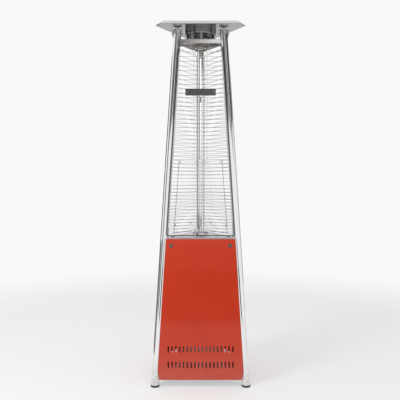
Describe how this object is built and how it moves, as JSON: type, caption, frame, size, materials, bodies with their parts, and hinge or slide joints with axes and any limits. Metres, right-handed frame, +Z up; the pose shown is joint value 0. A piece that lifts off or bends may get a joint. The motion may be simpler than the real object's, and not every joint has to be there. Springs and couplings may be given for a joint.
{
  "type": "gas patio heater",
  "caption": "Three-sided free-standing gas patio heater: flat cap over a glass flame tube inside wire guards, on a vented cabinet that hides the gas bottle.",
  "frame": {"origin": "centre of the footprint, on the floor", "axes": "+Z up the heater, +X to the right seen from the front panel, +Y towards the rear post"},
  "size_m": [0.641, 0.5627, 2.356],
  "materials": {
    "stainless": "polished",
    "dark_stainless": "polished",
    "red_enamel": "gloss",
    "galvanized": "satin",
    "cast_brass": "satin",
    "zinc_casting": "matte",
    "black_plastic": "satin",
    "black_rubber": "matte",
    "borosilicate": "clear",
    "bottle_paint": "satin",
    "ceramic_white": "gloss",
    "copper_pipe": "satin"
  },
  "bodies": {
    "frame": {"base_shelf": "galvanized", "blank_badge_plate": "dark_stainless", "bottle_collar": "bottle_paint", "bottle_foot_ring": "bottle_paint", "bottle_locating_ring": "galvanized", "bottle_valve": "cast_brass", "burner_box": "galvanized", "burner_feed_pipe": "copper_pipe", "burner_head": "stainless", "cap_bracket_front_left": "stainless", "cap_bracket_front_right": "stainless", "cap_bracket_rear": "stainless", "cap_liner": "stainless", "control_plate": "dark_stainless", "deck_plate": "stainless", "flame_screen": "dark_stainless", "foot_front_left": "black_plastic", "foot_front_right": "black_plastic", "foot_rear": "black_plastic", "front_panel": "red_enamel", "gas_bottle": "bottle_paint", "gas_hose": "black_rubber", "gas_valve": "zinc_casting", "glass_tube": "borosilicate", "guard_front": "stainless", "guard_rear_left": "stainless", "guard_rear_right": "stainless", "hinge_leaf_lower": "stainless", "hinge_leaf_upper": "stainless", "hinge_pin_lower": "stainless", "hinge_pin_upper": "stainless", "igniter_case": "black_plastic", "latch_catch": "galvanized", "mixing_tube": "zinc_casting", "panel_stud_left": "dark_stainless", "panel_stud_right": "dark_stainless", "pilot_burner": "stainless", "post_front_left": "stainless", "post_front_right": "stainless", "post_rear": "stainless", "rear_left_panel": "red_enamel", "reflector_cap": "stainless", "regulator": "zinc_casting", "spark_electrode": "ceramic_white", "spark_lead": "black_rubber", "thermocouple": "copper_pipe", "tilt_switch": "black_plastic", "top_plate": "dark_stainless", "tube_collar": "stainless", "tube_seal": "black_rubber", "tube_seat": "stainless", "valve_bracket": "galvanized", "wind_shield_left": "borosilicate", "wind_shield_right": "borosilicate"},
    "door": {"access_door": "red_enamel"},
    "latch": {"door_latch": "zinc_casting"},
    "stem": {"valve_stem": "cast_brass"},
    "knob": {"control_knob": "black_plastic"},
    "button": {"igniter_button": "black_plastic"},
    "handwheel": {"bottle_handwheel": "black_plastic"}
  },
  "joints": [
    {"name": "door_hinge", "type": "hinge", "parent": "frame", "child": "door", "pos_m": [0.0317, 0.26237, 0.00112], "axis": [0, -0.07, 0.9975], "range_deg": [0, 110]},
    {"name": "latch_turn", "type": "hinge", "parent": "door", "child": "latch", "pos_m": [0.22991, -0.18138, 0.52], "axis": [-0.8655, -0.4997, -0.0351], "range_deg": [0, 90]},
    {"name": "knob_push", "type": "slide", "parent": "frame", "child": "stem", "axis": [0.8655, -0.4997, -0.0351], "range_m": [0, 0.004], "stiffness_N_per_m": 700},
    {"name": "knob_turn", "type": "hinge", "parent": "stem", "child": "knob", "pos_m": [-0.10243, 0.01627, 0.85], "axis": [-0.8655, 0.4997, 0.0351], "range_deg": [0, 180]},
    {"name": "igniter_push", "type": "slide", "parent": "frame", "child": "button", "axis": [0.8655, -0.4997, -0.0351], "range_m": [0, 0.004], "stiffness_N_per_m": 500},
    {"name": "bottle_valve_turn", "type": "hinge", "parent": "frame", "child": "handwheel", "pos_m": [0, -0.08444, 0.4625], "axis": [0, 0, 1], "range_deg": [0, 720]}
  ]
}
